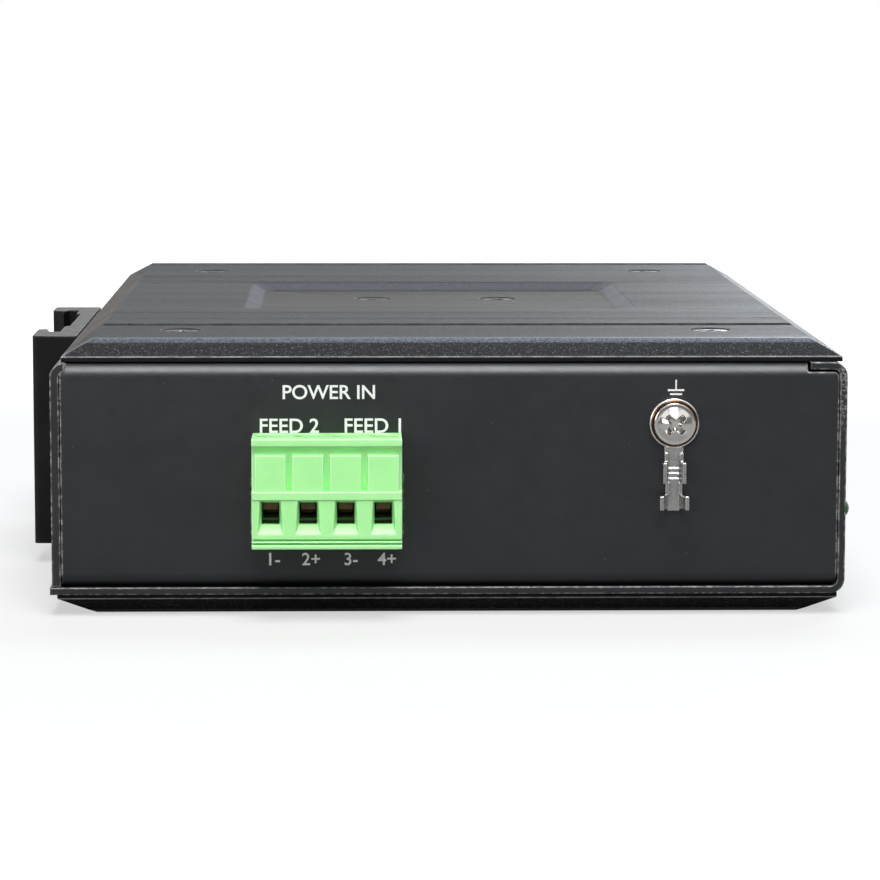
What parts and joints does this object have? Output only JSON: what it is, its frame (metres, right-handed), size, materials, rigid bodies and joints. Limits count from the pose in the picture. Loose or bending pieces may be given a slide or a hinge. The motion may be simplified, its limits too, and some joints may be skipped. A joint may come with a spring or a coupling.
{
  "type": "industrial media converter",
  "caption": "Rail-mounted converter between copper and fibre network lines: folded black steel case, bevelled side plates, green pluggable power terminal, earth lug, ports and status lamps.",
  "frame": {"origin": "middle of the lower side plate's flat outer face, on which the converter lies", "axes": "+X from the rail clip's wall to the port panel, +Y from the terminal end to the far end, +Z from the lower side plate to the upper one; the terminal end faces -Y"},
  "size_m": [0.1181, 0.1554, 0.038],
  "materials": {
    "case_black": "fine-grained black powder coat",
    "plate_black": "black coated extrusion",
    "screw_nickel": "nickel-plated steel",
    "nut_zinc": "zinc-plated steel",
    "spring_steel": "spring steel",
    "earth_bright": "bright nickel plate",
    "lug_tin": "tin-plated brass",
    "plug_green": "moulded green plastic, semi-matt",
    "contact_brass": "plated brass",
    "board_green": "glass-fibre board with solder mask",
    "lamp_green": "clear tinted resin",
    "holder_black": "moulded black plastic",
    "shield_nickel": "nickel-plated sheet",
    "wire_gold": "gold-plated wire",
    "chip_black": "moulded resin",
    "pad_grey": "soft filled silicone",
    "block_bare": "sawn aluminium",
    "can_silver": "drawn can",
    "ferrite": "sintered ferrite"
  },
  "bodies": {
    "housing": {"chassis_tray": "case_black", "front_cover": "case_black", "side_plate_upper": "plate_black", "side_plate_lower": "plate_black", "din_clip": "plate_black", "upper_plate_screws": "screw_nickel", "lower_plate_screws": "screw_nickel", "pocket_screws": "screw_nickel", "clip_screws": "screw_nickel", "board_screws": "screw_nickel", "tray_nuts": "nut_zinc", "clip_nuts": "nut_zinc", "earth_nut": "nut_zinc", "board_standoffs": "nut_zinc", "din_spring": "spring_steel", "earth_screw": "earth_bright", "earth_washer": "earth_bright", "earth_lug": "lug_tin", "plug_header": "plug_green", "header_pins": "contact_brass", "main_board": "board_green", "led_lenses": "lamp_green", "led_holders": "holder_black", "copper_jack_insert": "holder_black", "fibre_connector": "holder_black", "copper_jack_shield": "shield_nickel", "fibre_cage": "shield_nickel", "fibre_cage_fingers": "shield_nickel", "copper_jack_contacts": "wire_gold", "converter_chip": "chip_black", "input_diodes": "chip_black", "line_transformer": "chip_black", "thermal_pad": "pad_grey", "heat_block": "block_bare", "smoothing_capacitors": "can_silver", "clock_crystal": "can_silver", "isolating_transformer": "ferrite", "power_inductor": "ferrite"},
    "plug": {"terminal_plug": "plug_green", "clamp_cages": "nut_zinc", "clamp_screws": "screw_nickel", "plug_contacts": "contact_brass"}
  },
  "joints": [
    {"name": "plug_pull", "type": "slide", "parent": "housing", "child": "plug", "axis": [0, -1, 0], "range_m": [0, 0.012]}
  ]
}
